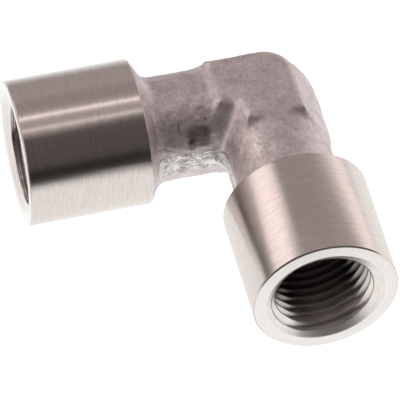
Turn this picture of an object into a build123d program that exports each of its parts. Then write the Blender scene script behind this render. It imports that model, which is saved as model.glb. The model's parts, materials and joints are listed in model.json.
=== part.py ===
from build123d import *
from math import radians, tan
import os

# Forged elbow fitting with two G 1/8 female ports at right angles, in millimetres.
# One arm runs along -X and the other along -Y. The origin is the middle of the front arm's
# mouth, the ports' axes lie in the XY plane, which is also the forging's parting plane, and
# +Z is up.

# Arms, measured out from the crossing of their ports' axes
centre_to_face = 22.5
socket_diameter = 13.0
socket_length = 11.0
shoulder_half_angle = 60.0
shoulder_fillet = 0.5
mouth_edge_chamfer = 0.2
neck_diameter = 9.3

# Ports: the thread is shown by its core, with a countersunk lead-in at the mouth
thread_core_diameter = 8.57
thread_bore_depth = 9.5
lead_in_diameter = 10.6
lead_in_half_angle = 60.0
passage_diameter = 6.0
drill_point_half_angle = 59.0

# The necks and their bend lie this far off both ports' axes, toward the inner corner
forging_offset = 0.14

# Corner block: a raised flat above and one below, with drafted sides
block_height = 9.7
block_flat_width = 5.0
block_inner_radius = 1.9
block_end_straight = 0.25
block_draft = 25.0
block_edge_radius = 0.3
block_root_height = 1.5

# Inner corner: the web between the necks, and the walls where its flash was sheared off flat
web_radius = 1.6
trim_reach = 4.66
trim_inner_radius = 1.6

# The web rises out of the necks' skin from this far below it
web_inset = 0.05

# Sizes that follow
socket_radius = socket_diameter / 2
neck_radius = neck_diameter / 2
core_radius = thread_core_diameter / 2
lead_in_radius = lead_in_diameter / 2
passage_radius = passage_diameter / 2
turned_end = centre_to_face - socket_length
shoulder_slope = tan(radians(shoulder_half_angle))
shoulder_foot = turned_end - (socket_radius - passage_radius) / shoulder_slope
neck_end = turned_end - (socket_radius - neck_radius) / shoulder_slope
lead_in_end = centre_to_face - (lead_in_radius - core_radius) / tan(radians(lead_in_half_angle))
bore_end = centre_to_face - thread_bore_depth
point_slope = tan(radians(drill_point_half_angle))
bore_foot = bore_end - (core_radius - passage_radius) / point_slope
passage_tip = -passage_radius / point_slope
bend_radius = neck_radius + web_radius
neck_length = turned_end - forging_offset
web_section_radius = neck_radius - web_inset
block_reach = block_flat_width / 2 + block_inner_radius + block_end_straight
block_depth = block_height / 2 - block_root_height
trim_end = neck_end - shoulder_fillet

# Planes: on an arm's plane local X runs out along the arm and local Y is up, and the left
# section plane lies across the left neck and looks out along it
corner = Vector(0, centre_to_face, 0)
forging = corner - Vector(forging_offset, forging_offset, 0)
left_arm = Plane(origin=corner, x_dir=(-1, 0, 0), z_dir=(0, 1, 0))
front_arm = Plane(origin=corner, x_dir=(0, -1, 0), z_dir=(-1, 0, 0))
left_section = Plane(origin=forging, x_dir=(0, 1, 0), z_dir=(-1, 0, 0))
bend_axis = Axis(forging - Vector(bend_radius, bend_radius, 0), (0, 0, -1))
diagonal = Plane(origin=corner, z_dir=(1, -1, 0))


def nearest(shapes, x, y, z=0):
    """The vertex or edge that lies nearest to a point."""
    return shapes.sort_by_distance((x, y, z))[0]


# Plan of one of the block's flats: a strip along each arm, round at the outer corner
with BuildSketch() as flat_plan:
    Rectangle(block_reach, block_flat_width, align=(Align.MAX, Align.CENTER))
    Rectangle(block_flat_width, block_reach, align=(Align.CENTER, Align.MAX))
    Circle(block_flat_width / 2)
    fillet(nearest(flat_plan.vertices(), -block_flat_width / 2, -block_flat_width / 2), block_inner_radius)

# Half outline of a turned socket, with the shoulder that runs down into its neck
with BuildSketch() as socket_profile:
    with BuildLine():
        Polyline(
            (shoulder_foot, 0),
            (shoulder_foot, passage_radius),
            (turned_end, socket_radius),
            (centre_to_face, socket_radius),
            (centre_to_face, 0),
            close=True,
        )
    make_face()
    chamfer(nearest(socket_profile.vertices(), centre_to_face, socket_radius), mouth_edge_chamfer)

# Half outline of a port: lead-in, thread core, drill cone, flow passage and its drill point
with BuildSketch() as port_profile:
    with BuildLine():
        Polyline(
            (centre_to_face, 0),
            (centre_to_face, lead_in_radius),
            (lead_in_end, core_radius),
            (bore_end, core_radius),
            (bore_foot, passage_radius),
            (0, passage_radius),
            (passage_tip, 0),
            close=True,
        )
    make_face()

# Plan of what was sheared off in the inner corner, between the two shoulders
with BuildSketch() as trim_plan:
    Rectangle(trim_end, trim_end, align=(Align.MAX, Align.MAX))
    Rectangle(trim_end, trim_reach, align=(Align.MAX, Align.MAX), mode=Mode.SUBTRACT)
    Rectangle(trim_reach, trim_end, align=(Align.MAX, Align.MAX), mode=Mode.SUBTRACT)
    fillet(nearest(trim_plan.vertices(), -trim_reach, -trim_reach), trim_inner_radius)

# The block's upper half, drafted out and down from its flat until it is inside the necks
with BuildPart() as block_half:
    with BuildSketch(Plane(corner).offset(block_height / 2)):
        add(flat_plan.sketch)
    extrude(amount=-block_depth, taper=-block_draft)
    fillet(block_half.faces().sort_by(Axis.Z)[-1].edges(), block_edge_radius)

# The left arm from the crossing outwards: the neck runs into the turned socket over a fillet
with BuildPart() as arm_blank:
    with BuildSketch(left_arm):
        add(socket_profile.sketch)
    revolve(axis=Axis(left_arm.origin, left_arm.x_dir))
    with BuildSketch(left_section):
        Circle(neck_radius)
    extrude(amount=neck_length)
    meeting = nearest(arm_blank.edges(), -neck_end, centre_to_face - forging_offset, neck_radius)
    fillet(meeting, shoulder_fillet)

# The fitting is one forging: arms, outer corner, web and block join here
with BuildPart() as elbow_body:
    add(arm_blank.part)
    mirror(arm_blank.part, about=diagonal)
    with Locations(forging):
        Sphere(neck_radius)
    with BuildSketch(left_section.offset(bend_radius)):
        Circle(web_section_radius)
        Rectangle(neck_radius, neck_diameter, align=(Align.MIN, Align.CENTER), mode=Mode.SUBTRACT)
    revolve(axis=bend_axis, revolution_arc=90)
    add(block_half.part)
    mirror(block_half.part, about=Plane.XY)
    with BuildSketch(Plane(corner)):
        add(trim_plan.sketch)
    extrude(amount=neck_radius, both=True, mode=Mode.SUBTRACT)
    # Both ports are cut last, and their passages meet at the crossing
    for arm in (left_arm, front_arm):
        with BuildSketch(arm):
            add(port_profile.sketch)
        revolve(axis=Axis(arm.origin, arm.x_dir), mode=Mode.SUBTRACT)

elbow_body.part.label = "elbow_body"
os.makedirs("parts", exist_ok=True)
export_step(elbow_body.part, "parts/elbow_body.step")
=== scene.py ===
"""Looks of the forged elbow fitting: as-forged corner, turned sockets, tapped ports."""

import json
import math

import bpy
import numpy as np
from mathutils import Matrix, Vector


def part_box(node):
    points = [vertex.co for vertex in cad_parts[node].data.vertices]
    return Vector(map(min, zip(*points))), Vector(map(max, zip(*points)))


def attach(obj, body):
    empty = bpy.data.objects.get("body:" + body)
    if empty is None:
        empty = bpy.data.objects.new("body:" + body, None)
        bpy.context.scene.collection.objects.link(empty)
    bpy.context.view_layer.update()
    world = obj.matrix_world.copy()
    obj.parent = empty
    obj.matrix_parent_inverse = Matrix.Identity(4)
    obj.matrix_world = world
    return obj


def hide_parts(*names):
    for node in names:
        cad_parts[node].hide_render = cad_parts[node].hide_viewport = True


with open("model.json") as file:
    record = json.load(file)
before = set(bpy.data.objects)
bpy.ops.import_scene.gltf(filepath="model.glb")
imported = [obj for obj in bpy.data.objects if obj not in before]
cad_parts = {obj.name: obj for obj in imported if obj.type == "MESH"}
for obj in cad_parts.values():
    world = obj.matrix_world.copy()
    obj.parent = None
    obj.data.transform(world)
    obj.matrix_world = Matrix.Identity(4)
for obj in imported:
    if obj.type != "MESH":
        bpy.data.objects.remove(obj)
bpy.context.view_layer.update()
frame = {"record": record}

MM = 0.001
NODE = "elbow_body"

# Sizes in millimetres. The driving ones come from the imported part.
low, high = (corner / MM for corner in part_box(NODE))
mounts = {mount["name"]: mount for mount in frame["record"]["mounts"]}
port_dims = mounts["front_port"]["dims"]
socket_radius = high.x
centre_to_face = (high.y - low.y) - socket_radius
core_radius = port_dims["r_mm"]
crossing = np.array([0.0, centre_to_face, 0.0])

# Turned sockets
socket_length = 11.0
shoulder_slope = math.tan(math.radians(60))
shoulder_fillet = 0.7
mouth_chamfer = 0.12
mouth_edge_round = 0.06
lead_in_radius = 5.3
lead_in_half_angle = math.radians(60)
lead_in_start = 0.1
skin_overlap = 0.3

# Ports: G 1/8 thread, 28 turns to the inch
pitch = 25.4 / 28
major_radius = 9.728 / 2
bore_depth = 9.5
full_thread_depth = 7.4
thread_runout = 1.3
crest_roundness = 0.95
passage_radius = 3.0
drill_half_angle = math.radians(59)
crossing_reach = 3.5

# Forging: it sits a little off the turned axes, and its flash was sheared off flat
neck_radius = 4.66
forging_shift = (-0.14, -0.14, -0.1)
web_width = 0.9
flat_height = 4.85
flat_half_width = 2.5
flat_reach = 4.65
block_draft = math.radians(25)
block_inner_width = 2.1
block_edge_width = 0.6
block_foot_width = 0.75
trim_reach = 4.66
trim_half_height = 1.15
trim_middle = -0.05
trim_inner_width = 1.6
trim_edge_width = 0.05
sheared_softness = 0.15
edge_line_half_width = 0.11
valley_half_width = 0.26
valley_start = 2.6
shoulder_recess = 0.06
forging_cell = 0.104

# Painted marks on the necks, dark reflections and shade, and highlights: the neck, place out along it,
# angle up from the parting plane, half length along and half height around, softness of the edge, and
# strength
painted_dark_marks = [
    ("left", 6.70, 34, 1.15, 1.00, 0.45, 0.80),
    ("left", 7.35, 27, 0.45, 0.60, 0.30, 1.0),
    ("left", 6.20, 24, 0.55, 0.25, 0.20, 1.0),
    ("left", 8.57, 65, 0.12, 0.12, 0.10, 0.9),
    ("left", 8.35, 46, 0.10, 0.65, 0.10, 0.7),
    ("left", 8.05, 52, 0.08, 0.30, 0.10, 0.6),
    ("left", 5.90, 51, 0.15, 0.22, 0.12, 0.8),
    ("left", 10.66, 44, 0.06, 1.50, 0.08, 0.7),
]
painted_highlight_marks = [
    ("left", 4.85, 64, 0.10, 0.10, 0.10, 1.0),
    ("front", 7.35, 61, 1.00, 0.40, 0.30, 0.8),
]

# Mesh density of the turned skins
columns = 160
rows_per_turn = 14

# Places along an arm, measured out from the crossing of the axes
turned_end = centre_to_face - socket_length

# The camera, as fitted to the photograph's outline
camera_place = np.array([-97.891, -380.637, 470.44])
camera_right = np.array([0.97243, -0.23301, -0.00933])
camera_up = np.array([0.18267, 0.73626, 0.65157])
camera_back = np.array([-0.14495, -0.63531, 0.75853])
camera_lens = 638.2

# Colours of the turned steel, its end faces and the tapped bores, and how dark the painted shade deep in
# a bore gets
steel = (0.72, 0.66, 0.62)
face_steel = (0.82, 0.79, 0.755)
bore_steel = (0.80, 0.745, 0.71)
bore_shade_share = 0.22

# Colours of the forged skin, from its dark to its light patches, and of its marks: painted dark
# reflections and shade, painted highlights and a dark line
skin_colours = ((0.58, 0.52, 0.515), (0.85, 0.775, 0.77))
torn_colours = ((0.60, 0.56, 0.54), (0.90, 0.87, 0.85))
painted_dark_colour = (0.22, 0.195, 0.18)
painted_highlight_colour = (1.0, 0.97, 0.95)
valley_highlight_colour = (0.98, 0.92, 0.91)
edge_line_colour = (0.30, 0.27, 0.26)

tent_tint = (1.0, 0.89, 0.88)


# Meshes

def mesh_object(name, vertices, faces, uvs=None):
    """A smooth-shaded mesh object from arrays in millimetres, with one UV pair for each vertex."""
    mesh = bpy.data.meshes.new(name)
    mesh.from_pydata((np.asarray(vertices) * MM).tolist(), [], np.asarray(faces).tolist())
    if uvs is not None:
        corner_vertex = np.zeros(len(mesh.loops), dtype=np.int32)
        mesh.loops.foreach_get("vertex_index", corner_vertex)
        layer = mesh.uv_layers.new(name="lathe")
        layer.data.foreach_set("uv", uvs[corner_vertex].astype(np.float32).ravel())
    mesh.shade_smooth()
    piece = bpy.data.objects.new(name, mesh)
    bpy.context.scene.collection.objects.link(piece)
    return piece


def rounded(points, radii, steps=5):
    """A polyline whose inner corners are replaced by arcs of the given radii."""
    points = [np.array(point, dtype=float) for point in points]
    out = [points[0]]
    for before, corner, after, radius in zip(points, points[1:], points[2:], radii):
        to_before = (before - corner) / np.linalg.norm(before - corner)
        to_after = (after - corner) / np.linalg.norm(after - corner)
        half = math.acos(np.clip(to_before @ to_after, -1, 1)) / 2
        middle = (to_before + to_after) / np.linalg.norm(to_before + to_after)
        centre = corner + middle * radius / math.sin(half)
        start = corner + to_before * radius / math.tan(half) - centre
        end = corner + to_after * radius / math.tan(half) - centre
        for share in np.linspace(0, 1, steps):
            spoke = start * (1 - share) + end * share
            out.append(centre + spoke * radius / np.linalg.norm(spoke))
    out.append(points[-1])
    return out


def outside_profile():
    """Places along the arm and their radii, from the socket's inner edge to the lead-in."""
    corners = [
        (turned_end, socket_radius - skin_overlap),
        (turned_end, socket_radius),
        (centre_to_face - mouth_chamfer, socket_radius),
        (centre_to_face, socket_radius - mouth_chamfer),
        (centre_to_face, lead_in_radius),
        (centre_to_face - lead_in_start, lead_in_radius - lead_in_start * math.tan(lead_in_half_angle)),
    ]
    return rounded(corners, [mouth_edge_round] * 4 + [mouth_edge_round / 2])


def thread_radius(depth, angle):
    """Radius of the tapped bore at a depth from the mouth and an angle around the axis."""
    turn = depth / pitch - angle / (2 * math.pi)
    wave = np.arcsin(crest_roundness * np.cos(2 * math.pi * turn)) / math.asin(crest_roundness)
    fade = np.clip((full_thread_depth + thread_runout - depth) / thread_runout, 0, 1)
    tapped = core_radius + (major_radius - core_radius) * fade * (wave + 1) / 2
    cone = lead_in_radius - depth * math.tan(lead_in_half_angle)
    return np.maximum(tapped, cone)


def arm_skin(name, along, across):
    """Skin of one turned socket and its port, from the neck over the mouth to the crossing."""
    angles = np.linspace(0, 2 * math.pi, columns, endpoint=False)
    rows = [
        (np.full(columns, place), np.full(columns, radius)) for place, radius in outside_profile()
    ]
    start = lead_in_start + pitch / rows_per_turn
    for depth in np.arange(start, bore_depth, pitch / rows_per_turn):
        rows.append((np.full(columns, centre_to_face - depth), thread_radius(depth, angles)))
    bore_end = centre_to_face - bore_depth
    foot = bore_end - (core_radius - passage_radius) / math.tan(drill_half_angle)
    rows.append((np.full(columns, bore_end), np.full(columns, core_radius)))
    rows.append((np.full(columns, foot), np.full(columns, passage_radius)))
    # The passages meet on the diagonal plane, where the outer corner is rounded off
    inner = -passage_radius * np.cos(angles)
    for share in np.linspace(0.15, 1, 8):
        rows.append((foot * (1 - share) + inner * share, np.full(columns, passage_radius)))
    places = np.array([place for place, radius in rows])
    radii = np.array([radius for place, radius in rows])
    side = radii * np.cos(angles)
    up = radii * np.sin(angles)
    beyond = np.hypot(np.maximum(-places, 0), np.maximum(side, 0))
    pull = np.minimum(1, crossing_reach / np.maximum(beyond, 1e-6))
    pull = np.where((places < 0) & (side > 0), pull, 1)
    vertices = crossing + (places * pull)[..., None] * along + (side * pull)[..., None] * across
    vertices[..., 2] += up
    count = len(rows)
    step = np.linalg.norm(np.diff(np.stack([places[:, 0], radii[:, 0]], 1), axis=0), axis=1)
    lengths = np.concatenate([[0], np.cumsum(step)])
    uvs = np.stack(np.broadcast_arrays(lengths[:, None], angles / (2 * math.pi)), 2)
    index = np.arange(count * columns).reshape(count, columns)
    here, after = index[:-1], index[1:]
    faces = np.stack([here, np.roll(here, -1, 1), np.roll(after, -1, 1), after], 2).reshape(-1, 4)
    if np.cross(along, across)[2] < 0:
        faces = faces[:, ::-1]
    return mesh_object(name, vertices.reshape(-1, 3), faces, uvs.reshape(-1, 2))


# Forged skin, as a distance field about the crossing of the axes

def blend_union(a, b, width):
    """The union of two distance fields, with a fillet about width wide."""
    share = np.clip(0.5 + 0.5 * (b - a) / width, 0, 1)
    return b * (1 - share) + a * share - width * share * (1 - share)


def blend_cut(a, b, width):
    """What two distance fields share, with its edge rounded."""
    return -blend_union(-a, -b, width)


def plan_box(x, y, x_low, x_high, y_half):
    """Distance in plan to a rectangle that is centred on the x axis."""
    out_x = np.abs(x - (x_low + x_high) / 2) - (x_high - x_low) / 2
    out_y = np.abs(y) - y_half
    outside = np.hypot(np.maximum(out_x, 0), np.maximum(out_y, 0))
    return outside + np.minimum(np.maximum(out_x, out_y), 0)


def shoulder(out, ring):
    """Distance to the cone that widens a neck to its socket."""
    cone = (ring - socket_radius + (turned_end - out) * shoulder_slope) / math.hypot(1, shoulder_slope)
    return np.maximum(cone, ring - socket_radius + shoulder_recess)


def neck_distances(x, y, z):
    """Distances to the left and the front neck, each with a round end at the crossing."""
    dx, dy, dz = x - forging_shift[0], y - forging_shift[1], z - forging_shift[2]
    left = np.hypot(np.hypot(np.maximum(dx, 0), dy), dz) - neck_radius
    front = np.hypot(np.hypot(dx, np.maximum(dy, 0)), dz) - neck_radius
    return left, front


def trim_wall(x, y):
    """Distance to the walls in the inner corner where the flash was sheared off, negative inside."""
    return blend_union(-trim_reach - y, -trim_reach - x, trim_inner_width)


def forging(x, y, z):
    """Distance to the forged skin in millimetres, negative inside."""
    left, front = neck_distances(x, y, z)
    inward = np.clip(np.minimum(-x, -y) / 2, 0.01, 1)
    body = blend_union(left, front, web_width * inward)
    body = blend_cut(body, trim_wall(x, y), trim_edge_width)
    plan = blend_union(
        plan_box(x, y, -flat_reach, 0, flat_half_width),
        plan_box(y, x, -flat_reach, 0, flat_half_width),
        block_inner_width,
    )
    plan = np.minimum(plan, np.hypot(x, y) - flat_half_width)
    spread = (flat_height - np.abs(z)) * math.tan(block_draft)
    sides = (plan - spread) * math.cos(block_draft)
    block = blend_cut(sides, np.abs(z) - flat_height, block_edge_width)
    body = blend_union(body, block, block_foot_width)
    body = blend_union(body, shoulder(-x, np.hypot(y, z)), shoulder_fillet)
    return blend_union(body, shoulder(-y, np.hypot(x, z)), shoulder_fillet)


def mark_strength(marks, x, y, z):
    """How strongly a list of marks shows at each point of the necks."""
    x, y, z = x - forging_shift[0], y - forging_shift[1], z - forging_shift[2]
    strength = np.zeros(x.shape)
    for neck, out, angle, half_length, half_height, softness, share in marks:
        along, across = (-x, -y) if neck == "left" else (-y, -x)
        around = neck_radius * (np.arctan2(z, across) - math.radians(angle))
        far = ((np.abs(along - out) / half_length) ** 3 + (np.abs(around) / half_height) ** 3) ** (1 / 3)
        edge = softness / min(half_length, half_height)
        shown = np.clip((1 + edge - far) / (2 * edge), 0, 1) * (across > 0)
        strength = np.maximum(strength, share * shown * shown * (3 - 2 * shown))
    return strength


def net_of(field, lowest, highest, cell):
    """Quads over the zero surface of a field, one vertex in each grid cell that it crosses.

    The surface is left open where it runs out of the grid."""
    axes = [np.arange(a, b + cell, cell) for a, b in zip(lowest, highest)]
    grid = np.meshgrid(*axes, indexing="ij")
    values = field(*grid)
    shape = [n - 1 for n in values.shape]
    total = np.zeros(shape + [3])
    crossings = np.zeros(shape)
    offsets = [np.array([i, j, k]) for i in (0, 1) for j in (0, 1) for k in (0, 1)]

    def corner(offset):
        return values[tuple(slice(o, o + n) for o, n in zip(offset, shape))]

    for start in offsets:
        for axis in range(3):
            if start[axis]:
                continue
            end = start + np.eye(3, dtype=int)[axis]
            a, b = corner(start), corner(end)
            crosses = (a < 0) != (b < 0)
            share = np.where(crosses, a / np.where(crosses, a - b, 1), 0)
            total += crosses[..., None] * (start + share[..., None] * (end - start))
            crossings += crosses
    used = crossings > 0
    number = np.full(shape, -1)
    number[used] = np.arange(used.sum())
    base = np.stack([axis[:-1][i] for axis, i in zip(axes, np.nonzero(used))], 1)
    vertices = base + cell * total[used] / crossings[used][:, None]
    faces = []
    for axis in range(3):
        second, third = (axis + 1) % 3, (axis + 2) % 3
        a = values.take(range(0, values.shape[axis] - 1), axis)
        b = values.take(range(1, values.shape[axis]), axis)
        for flip in (False, True):
            found = np.stack(np.nonzero((b < 0) & (a >= 0) if flip else (a < 0) & (b >= 0)), 1)
            found = found[(found[:, second] > 0) & (found[:, third] > 0)]
            around = []
            for step_second, step_third in ((1, 1), (0, 1), (0, 0), (1, 0)):
                at = found.copy()
                at[:, second] -= step_second
                at[:, third] -= step_third
                around.append(number[tuple(at.T)])
            quads = np.stack(around, 1)
            faces.append(quads[:, ::-1] if flip else quads)
    return vertices, np.concatenate(faces)


def settled(vertices, field, rounds=4, nudge=1e-3):
    """The vertices moved along the field's gradient until they lie on its zero surface."""
    for _ in range(rounds):
        value = field(*vertices.T)
        slope = np.stack([
            (field(*(vertices + step).T) - field(*(vertices - step).T)) / (2 * nudge)
            for step in np.eye(3) * nudge
        ], 1)
        vertices = vertices - value[:, None] * slope / np.maximum((slope ** 2).sum(1), 0.2)[:, None]
    return vertices


def forged_skin():
    """The as-forged corner, necks and shoulders, which end out of sight inside the sockets."""
    end = turned_end + 0.2
    reach = socket_radius + 0.1
    lowest = (-end, -end, -reach)
    highest = (reach, reach, reach)
    vertices, faces = net_of(forging, lowest, highest, forging_cell)
    vertices = settled(vertices, forging)
    skin = mesh_object("forged", vertices + crossing, faces)
    x, y, z = vertices.T
    # The walls up to where the shoulders start, and the dark line along their torn band's top
    on_wall = np.clip(1.5 + trim_wall(x, y) / 0.06, 0, 1)
    on_wall *= np.clip((turned_end - shoulder_fillet + np.minimum(x, y)) / 0.2, 0, 1)
    height = z - trim_middle
    sheared = on_wall * np.clip((trim_half_height - np.abs(height)) / sheared_softness, 0, 1)
    edge_line = on_wall * np.clip(1.3 - np.abs(height - trim_half_height) / edge_line_half_width, 0, 1)
    # A painted highlight along the upper line where the necks meet, outside the block
    left, front = neck_distances(x, y, z)
    valley = np.clip(1.3 - np.abs(left - front) / valley_half_width, 0, 1)
    valley *= (np.maximum(x, y) < -valley_start) * (z > 0)
    for name, values in (
        ("sheared", sheared),
        ("valley", valley * (1 - sheared)),
        ("edge_line", edge_line),
        # Painted dark reflections and shade, and painted highlights, on the necks
        ("dark", mark_strength(painted_dark_marks, x, y, z)),
        ("bright", mark_strength(painted_highlight_marks, x, y, z)),
    ):
        attribute = skin.data.attributes.new(name, "FLOAT", "POINT")
        attribute.data.foreach_set("value", values.astype(np.float32))
    group = skin.vertex_groups.new(name="sheared")
    for index in np.nonzero(sheared > 0.02)[0].tolist():
        group.add([index], float(sheared[index]), "REPLACE")
    return skin


def roughen(piece, name, size, depth, group=""):
    """Pushes the skin, or a group of its points, in and out by noise. Sizes are in millimetres."""
    noise = bpy.data.textures.new(name, "CLOUDS")
    noise.noise_scale = size * MM
    push = piece.modifiers.new(name, "DISPLACE")
    push.texture = noise
    push.texture_coords = "LOCAL"
    push.mid_level = 0.5
    push.strength = depth * MM
    push.vertex_group = group


# Materials

def add(tree, kind, x, y, **values):
    """A node with its sockets or properties set by name."""
    node = tree.nodes.new(kind)
    node.location = (x, y)
    for key, value in values.items():
        if hasattr(node, key):
            setattr(node, key, value)
        else:
            node.inputs[key.replace("_", " ")].default_value = value
    return node


def new_material(name):
    material = bpy.data.materials.new(name)
    material.use_nodes = True
    material.node_tree.nodes.clear()
    return material, material.node_tree


def ramp_between(tree, low, high, x, y):
    """A node that stretches low to high over zero to one."""
    node = add(tree, "ShaderNodeMapRange", x, y)
    node.inputs["From Min"].default_value = low
    node.inputs["From Max"].default_value = high
    return node


def mixed(tree, under, over, share, x, y):
    """The colour that a share of one colour over another gives. Each is a colour or an output."""
    node = add(tree, "ShaderNodeMix", x, y, data_type="RGBA")
    tree.links.new(share, node.inputs[0])
    for socket, colour in zip(node.inputs[6:8], (under, over)):
        if isinstance(colour, tuple):
            socket.default_value = (*colour, 1)
        else:
            tree.links.new(colour, socket)
    return node.outputs[2]


def turned_steel(name, colour, contrast=0.12, depths=None):
    """Fine-turned steel: rings around the axis spread the light along it.

    Between the two depths along the profile, where given, it fades to a painted shade that darkens the
    deep bore."""
    material, tree = new_material(name)
    link = tree.links.new
    out = add(tree, "ShaderNodeOutputMaterial", 900, 0)
    shader = add(
        tree, "ShaderNodeBsdfPrincipled", 600, 0, Metallic=1.0, Roughness=0.24, Anisotropic=0.75
    )
    uv = add(tree, "ShaderNodeUVMap", -1100, 0, uv_map="lathe")
    both = add(tree, "ShaderNodeMath", -250, 100, operation="ADD")
    rings = ramp_between(tree, 0.75, 1.25, 0, 100)
    bump = add(tree, "ShaderNodeBump", 300, -300, Strength=0.12, Distance=0.00002)
    tangent = add(tree, "ShaderNodeTangent", 300, -500, direction_type="UV_MAP", uv_map="lathe")
    for index, scale in enumerate(((14.0, 4.0, 1.0), (5.0, 26.0, 1.0))):
        stretch = add(tree, "ShaderNodeMapping", -850, -300 * index)
        stretch.inputs["Scale"].default_value = scale
        noise = add(tree, "ShaderNodeTexNoise", -550, -300 * index, Scale=1.0, Detail=4.0, Roughness=0.7)
        link(uv.outputs["UV"], stretch.inputs["Vector"])
        link(stretch.outputs["Vector"], noise.inputs["Vector"])
        link(noise.outputs["Fac"], both.inputs[index])
    link(both.outputs["Value"], rings.inputs["Value"])
    least = tuple((1 - contrast) * channel for channel in colour)
    most = tuple((1 + 0.5 * contrast) * channel for channel in colour)
    tint = mixed(tree, least, most, rings.outputs["Result"], 200, 100)
    # Painted shade: the colour darkens with depth into the tapped bore
    if depths:
        depth = add(tree, "ShaderNodeSeparateXYZ", -850, -700)
        fade = ramp_between(tree, *depths, -550, -700)
        bore_shade = tuple(bore_shade_share * channel for channel in colour)
        link(uv.outputs["UV"], depth.inputs["Vector"])
        link(depth.outputs["X"], fade.inputs["Value"])
        tint = mixed(tree, tint, bore_shade, fade.outputs["Result"], 400, 250)
    link(tint, shader.inputs["Base Color"])
    link(both.outputs["Value"], bump.inputs["Height"])
    link(bump.outputs["Normal"], shader.inputs["Normal"])
    link(tangent.outputs["Tangent"], shader.inputs["Tangent"])
    link(shader.outputs["BSDF"], out.inputs["Surface"])
    return material


def forged_steel():
    """Blasted forging skin: satin with fine grain and cloudy patches, torn where it was sheared, with
    painted dark reflections and shade and painted highlights.
    """
    material, tree = new_material("forged_steel")
    link = tree.links.new
    out = add(tree, "ShaderNodeOutputMaterial", 1300, 0)
    shader = add(tree, "ShaderNodeBsdfPrincipled", 1000, 0, Metallic=1.0)
    place = add(tree, "ShaderNodeTexCoord", -900, 0)
    grain = add(tree, "ShaderNodeTexNoise", -600, 0, Scale=3800.0, Detail=4.0, Roughness=0.7)
    clouds = add(tree, "ShaderNodeTexNoise", -600, -300, Scale=900.0, Detail=4.0, Roughness=0.65)
    for texture in (grain, clouds):
        link(place.outputs["Object"], texture.inputs["Vector"])
    share = {}
    for row, name in enumerate(("sheared", "dark", "bright", "valley", "edge_line")):
        attribute = add(tree, "ShaderNodeAttribute", -600, -900 - 200 * row, attribute_name=name)
        share[name] = attribute.outputs["Fac"]

    both = add(tree, "ShaderNodeMath", -350, -100, operation="ADD")
    cloudy = ramp_between(tree, 0.76, 1.24, -150, -100)
    link(grain.outputs["Fac"], both.inputs[0])
    link(clouds.outputs["Fac"], both.inputs[1])
    link(both.outputs["Value"], cloudy.inputs["Value"])
    colour = mixed(tree, *skin_colours, cloudy.outputs["Result"], 50, 100)

    # Torn metal: dark lines wander where a flattened noise passes through its middle
    flatten = add(tree, "ShaderNodeVectorMath", -800, -600, operation="MULTIPLY")
    flatten.inputs[1].default_value = (1.0, 1.0, 1.7)
    tears = add(tree, "ShaderNodeTexNoise", -600, -600, Scale=950.0, Detail=6.0, Roughness=0.72)
    side = add(tree, "ShaderNodeMath", -450, -700, operation="SUBTRACT")
    side.inputs[1].default_value = 0.5
    cracks = add(tree, "ShaderNodeMath", -400, -700, operation="ABSOLUTE")
    opened = ramp_between(tree, 0.0, 0.028, -350, -600)
    link(place.outputs["Object"], flatten.inputs[0])
    link(flatten.outputs["Vector"], tears.inputs["Vector"])
    link(tears.outputs["Fac"], side.inputs[0])
    link(side.outputs["Value"], cracks.inputs[0])
    link(cracks.outputs["Value"], opened.inputs["Value"])
    torn = mixed(tree, *torn_colours, opened.outputs["Result"], 50, -300)
    colour = mixed(tree, colour, torn, share["sheared"], 300, 100)

    # Painted dark reflections and shade on the necks: darker and smoother, with a ragged edge
    ragged = add(tree, "ShaderNodeMath", -150, -600, operation="MULTIPLY_ADD")
    ragged.inputs[1].default_value = 0.9
    painted_darkening = ramp_between(tree, 0.72, 1.45, 50, -600)
    link(clouds.outputs["Fac"], ragged.inputs[0])
    link(share["dark"], ragged.inputs[2])
    link(ragged.outputs["Value"], painted_darkening.inputs["Value"])
    colour = mixed(tree, colour, painted_dark_colour, painted_darkening.outputs["Result"], 500, 100)

    # The painted highlights are broken up by the grain and the dark line by the torn lines, and the
    # painted highlight along the valley is whole
    for texture, name, over, x in (
        (grain, "bright", painted_highlight_colour, 700),
        (None, "valley", valley_highlight_colour, 850),
        (tears, "edge_line", edge_line_colour, 900),
    ):
        shown = share[name]
        if texture:
            broken = ramp_between(tree, 0.42, 0.56, x - 200, -150)
            product = add(tree, "ShaderNodeMath", x - 50, -150, operation="MULTIPLY")
            link(texture.outputs["Fac"], broken.inputs["Value"])
            link(shown, product.inputs[0])
            link(broken.outputs["Result"], product.inputs[1])
            shown = product.outputs["Value"]
        colour = mixed(tree, colour, over, shown, x, 100)
    link(colour, shader.inputs["Base Color"])

    gloss = add(tree, "ShaderNodeMapRange", 500, -200)
    gloss.inputs["To Min"].default_value = 0.54
    gloss.inputs["To Max"].default_value = 0.40
    link(painted_darkening.outputs["Result"], gloss.inputs["Value"])
    link(gloss.outputs["Result"], shader.inputs["Roughness"])

    bump = add(tree, "ShaderNodeBump", 500, -450, Strength=0.4, Distance=0.00004)
    torn_bump = add(tree, "ShaderNodeBump", 750, -450, Distance=0.00006)
    link(grain.outputs["Fac"], bump.inputs["Height"])
    link(share["sheared"], torn_bump.inputs["Strength"])
    link(opened.outputs["Result"], torn_bump.inputs["Height"])
    link(bump.outputs["Normal"], torn_bump.inputs["Normal"])
    link(torn_bump.outputs["Normal"], shader.inputs["Normal"])
    link(shader.outputs["BSDF"], out.inputs["Surface"])
    return material


# Studio

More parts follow.
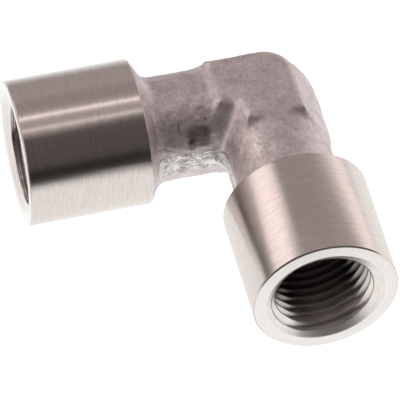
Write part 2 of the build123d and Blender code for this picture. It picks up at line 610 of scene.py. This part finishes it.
# The tent as seen from the fitting, in degrees: azimuths from the camera's side round to the
# right and the softness of their edges, elevations and theirs, and brightness. Later zones lie
# over earlier ones. The bars are lamps overhead: tilt from the zenith to the back, half width,
# softness and brightness.
tent_wall = 0.41
floor_glow = 1.06
tent_zones = [
    ((-180, 180), 1, (68, 90), 3, 0.42),
    ((140, 222), 5, (43, 66), 5, 0.34),
    ((85, 152), 6, (-40, 18), 15, 1.32),
    ((-120, -62), 8, (-5, 45), 8, 0.9),
    ((-165, -100), 5, (-18, 9), 4, 0.16),
    ((-156, -118), 3, (13, 44), 3, 1.5),
    ((-62, 66), 5, (-40, 70), 4, 0.10),
    ((-62, 66), 8, (-40, 18), 8, 0.02),
]
tent_bars = [(11.5, 2.5, 1.5, 1.7), (-9.0, 2, 1.5, 1.25)]


def soft_between(angle, edges, softness):
    """One between the two edges and none outside, eased over the softness."""
    rise = np.clip(0.5 + (angle - edges[0]) / (2 * softness), 0, 1)
    fall = np.clip(0.5 + (edges[1] - angle) / (2 * softness), 0, 1)
    share = np.minimum(rise, fall)
    return share * share * (3 - 2 * share)


def tent_brightness(azimuth, elevation):
    value = np.full(azimuth.shape, tent_wall)
    for azimuths, azimuth_softness, elevations, elevation_softness, brightness in tent_zones:
        share = soft_between(elevation, elevations, elevation_softness)
        if azimuths[1] - azimuths[0] < 360:
            turned = (azimuth - azimuths[0] + 90) % 360 + azimuths[0] - 90
            share = share * soft_between(turned, azimuths, azimuth_softness)
        value = value * (1 - share) + brightness * share
    turn, rise = np.radians(azimuth), np.radians(elevation)
    tilt = np.degrees(np.arctan2(-np.cos(turn) * np.cos(rise), np.sin(rise)))
    sideways = np.degrees(np.arcsin(np.sin(turn) * np.cos(rise)))
    for middle, half_width, softness, brightness in tent_bars:
        share = soft_between(tilt, (middle - half_width, middle + half_width), softness)
        share = share * soft_between(sideways, (-25, 35), 5) * (elevation > 45)
        value = value * (1 - share) + brightness * share
    return value


def tent():
    """The photographer's tent around the fitting, which glows as its lamps light it.

    The camera sees past it."""
    radius = 500.0
    azimuth = np.linspace(-180, 180, 241)
    elevation = np.linspace(-14, 90, 105)
    azimuth, elevation = np.meshgrid(azimuth, elevation, indexing="ij")
    glow_at = tent_brightness(azimuth, elevation)
    turn, rise = np.radians(azimuth), np.radians(elevation)
    way = np.stack([np.sin(turn) * np.cos(rise), -np.cos(turn) * np.cos(rise), np.sin(rise)], 2)
    vertices = crossing + radius * way
    index = np.arange(azimuth.size).reshape(azimuth.shape)
    faces = np.stack([index[:-1, :-1], index[1:, :-1], index[1:, 1:], index[:-1, 1:]], 2).reshape(-1, 4)
    walls = mesh_object("tent", vertices.reshape(-1, 3), faces)
    attribute = walls.data.attributes.new("glow", "FLOAT", "POINT")
    attribute.data.foreach_set("value", glow_at.ravel().astype(np.float32))
    material, tree = new_material("tent")
    out = add(tree, "ShaderNodeOutputMaterial", 400, 0)
    light = add(tree, "ShaderNodeEmission", 200, 0, Color=(*tent_tint, 1))
    level = add(tree, "ShaderNodeAttribute", 0, 0, attribute_name="glow")
    tree.links.new(level.outputs["Fac"], light.inputs["Strength"])
    tree.links.new(light.outputs["Emission"], out.inputs["Surface"])
    walls.data.materials.append(material)
    walls.visible_camera = False
    walls.visible_shadow = False


def rising(value, start, length):
    """Zero up to a start, and from there to one over a length."""
    return np.clip((value - start) / length, 0, 1)


def floor_under(height):
    """A pale floor: white to the camera, with the fitting's shadow, and to metal dimmer far away."""
    x, y = np.meshgrid(np.linspace(-130, 130, 66), np.linspace(-110, 150, 66), indexing="ij")
    vertices = np.stack([x, y, np.full(x.shape, height)], 2).reshape(-1, 3)
    index = np.arange(x.size).reshape(x.shape)
    faces = np.stack([index[:-1, :-1], index[1:, :-1], index[1:, 1:], index[:-1, 1:]], 2).reshape(-1, 4)
    floor = mesh_object("floor", vertices, faces)
    # What metal sees of the floor is dimmer behind, to the left and in front, short of the right
    behind = rising(y - centre_to_face, 14, 45)
    ahead = rising(-y, 5, 60) * rising(-x, -14, 10)
    left = rising(-x, 28, 22) * rising(-y, -20, 10)
    glow_at = floor_glow - 0.5 * behind - 0.95 * ahead - 0.75 * left
    attribute = floor.data.attributes.new("glow", "FLOAT", "POINT")
    attribute.data.foreach_set("value", np.maximum(glow_at, 0.03).ravel().astype(np.float32))
    material, tree = new_material("floor")
    link = tree.links.new
    out = add(tree, "ShaderNodeOutputMaterial", 900, 0)
    lit = add(tree, "ShaderNodeBsdfDiffuse", 0, -100, Color=(0.8, 0.8, 0.8, 1))
    white = add(tree, "ShaderNodeEmission", 0, 100, Strength=0.85)
    seen = add(tree, "ShaderNodeAddShader", 300, 0)
    level = add(tree, "ShaderNodeAttribute", 0, -300, attribute_name="glow")
    glow = add(tree, "ShaderNodeEmission", 300, -300)
    path = add(tree, "ShaderNodeLightPath", 300, 400)
    either = add(tree, "ShaderNodeMixShader", 600, 0)
    link(lit.outputs["BSDF"], seen.inputs[0])
    link(white.outputs["Emission"], seen.inputs[1])
    link(level.outputs["Fac"], glow.inputs["Strength"])
    link(path.outputs["Is Camera Ray"], either.inputs["Fac"])
    link(glow.outputs["Emission"], either.inputs[1])
    link(seen.outputs["Shader"], either.inputs[2])
    link(either.outputs["Shader"], out.inputs["Surface"])
    floor.data.materials.append(material)


def studio_world():
    """A white surround, for the camera and for what metal reflects."""
    world = bpy.data.worlds.new("studio")
    bpy.context.scene.world = world
    world.use_nodes = True
    tree = world.node_tree
    tree.nodes.clear()
    out = add(tree, "ShaderNodeOutputWorld", 400, 0)
    sky = add(tree, "ShaderNodeBackground", 200, 0, Strength=1.0)
    tree.links.new(sky.outputs["Background"], out.inputs["Surface"])


def photo_camera():
    data = bpy.data.cameras.new("camera")
    data.sensor_width = 36.0
    data.lens = camera_lens
    data.clip_start = 0.05
    data.clip_end = 10.0
    camera = bpy.data.objects.new("camera", data)
    rotation = Matrix((camera_right, camera_up, camera_back)).transposed().to_4x4()
    camera.matrix_world = Matrix.Translation((camera_place * MM).tolist()) @ rotation
    bpy.context.scene.collection.objects.link(camera)
    bpy.context.scene.camera = camera


# The fitting: the forged corner and the two turned arms, attached to one body
photo_camera()
forged = forged_skin()
roughen(forged, "forging_waves", 1.6, 0.12)
roughen(forged, "forging_grain", 0.4, 0.04)
roughen(forged, "torn_lumps", 0.35, 0.2, group="sheared")
left_arm = arm_skin("left_arm", np.array([-1.0, 0, 0]), np.array([0, 1.0, 0]))
front_arm = arm_skin("front_arm", np.array([0, -1.0, 0]), np.array([1.0, 0, 0]))

forged.data.materials.append(forged_steel())
profile = np.array(outside_profile())
lengths = np.concatenate([[0], np.cumsum(np.linalg.norm(np.diff(profile, axis=0), axis=1))])
finishes = [
    turned_steel("turned_steel", steel),
    turned_steel("faced_steel", face_steel, 0.04),
    # The tapped bore gets a painted shade that deepens between these depths
    turned_steel("tapped_steel", bore_steel, 0.10, (lengths[-1] + 2.4, lengths[-1] + 8.0)),
]
on_face = np.nonzero(profile[:, 0] > centre_to_face - 0.001)[0]
for arm in (left_arm, front_arm):
    for finish in finishes:
        arm.data.materials.append(finish)
    row = np.arange(len(arm.data.polygons)) // columns
    kind = np.where(row < on_face[0], 0, np.where(row < on_face[-1], 1, 2))
    arm.data.polygons.foreach_set("material_index", kind.astype(np.int32))
for piece in (forged, left_arm, front_arm):
    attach(piece, "root")
    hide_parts(NODE)

floor_under(low.z)
studio_world()
tent()

bpy.context.scene.view_settings.view_transform = "Standard"
